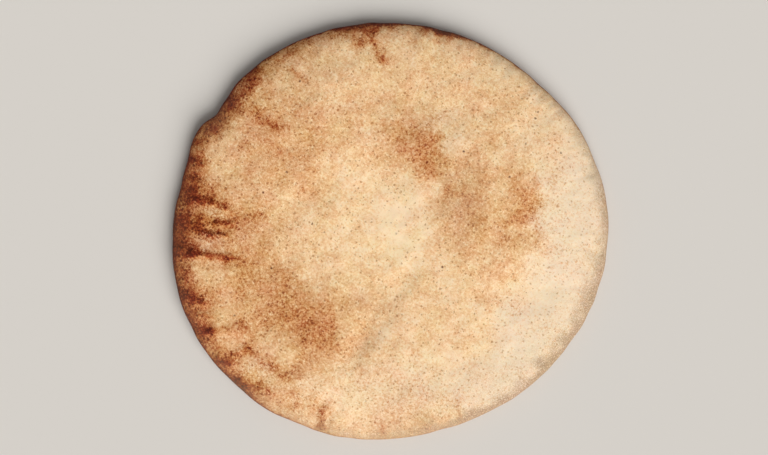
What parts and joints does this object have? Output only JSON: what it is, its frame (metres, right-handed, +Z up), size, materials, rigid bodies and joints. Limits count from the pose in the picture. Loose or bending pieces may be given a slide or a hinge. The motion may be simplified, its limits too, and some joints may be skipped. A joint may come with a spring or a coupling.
{
  "type": "pita bread",
  "caption": "Whole uncut round pocket pita of wholemeal dough, low puffed crown with toasted blisters and rim folds, lies flat on its baked underside.",
  "frame": {"origin": "on the flat foot that the bread rests on, under the middle of its bounding box", "axes": "+Z up through the bread, +X along its longest width, away from the folded side of the rim"},
  "size_m": [0.1686, 0.1616, 0.0137],
  "materials": {
    "baked_crust": "matt, toasted and flecked with bran"
  },
  "bodies": {
    "root": {"pita": "baked_crust"}
  },
  "joints": []
}
